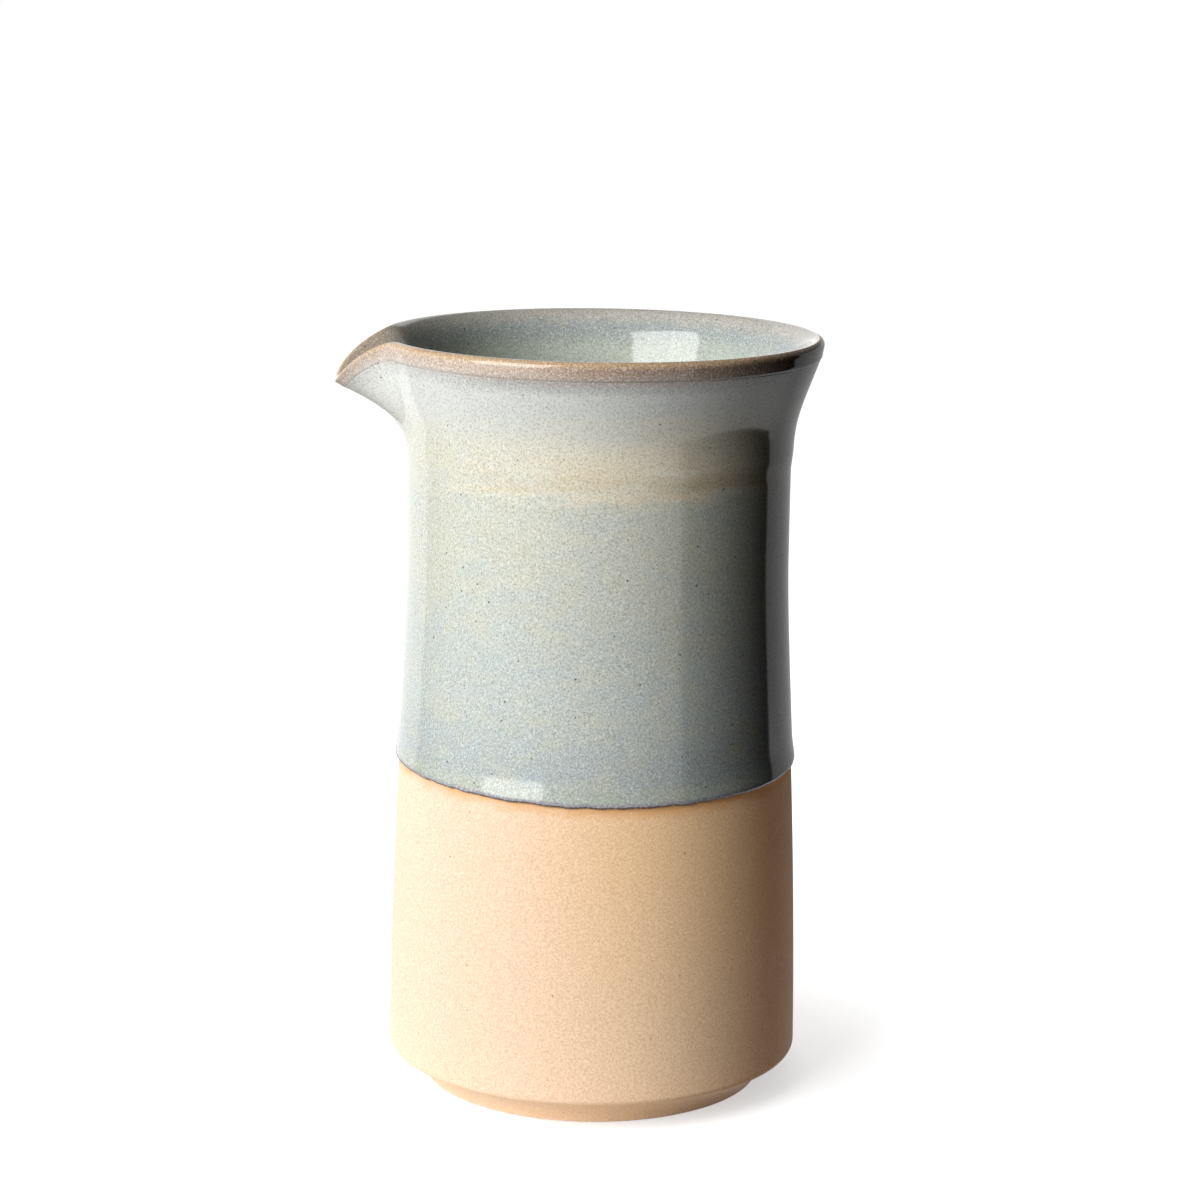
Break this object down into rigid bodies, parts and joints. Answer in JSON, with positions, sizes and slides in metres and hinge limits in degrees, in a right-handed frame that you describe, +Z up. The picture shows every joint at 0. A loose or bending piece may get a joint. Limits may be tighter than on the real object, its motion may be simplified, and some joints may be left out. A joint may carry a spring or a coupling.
{
  "type": "ceramic carafe",
  "caption": "Handleless stoneware carafe: bevelled base, bare clay lower body, glazed upper body and inside, flared rim pulled into a pouring spout.",
  "frame": {"origin": "middle of the flat base, on the body's axis", "axes": "+Z up along the body's axis, -X towards the tip of the spout"},
  "size_m": [0.1276, 0.1166, 0.1999],
  "materials": {
    "bare_clay": "matte, unglazed, fine grained",
    "liner_glaze": "glossy, finely speckled",
    "body_glaze": "glossy, finely speckled",
    "shoulder_glaze": "glossy, finely speckled, clouded",
    "rim_glaze": "satin, broken brown"
  },
  "bodies": {
    "root": {"stoneware_body": "bare_clay", "liner_glaze": "liner_glaze", "body_glaze": "body_glaze", "shoulder_glaze": "shoulder_glaze", "rim_glaze": "rim_glaze"}
  },
  "joints": []
}
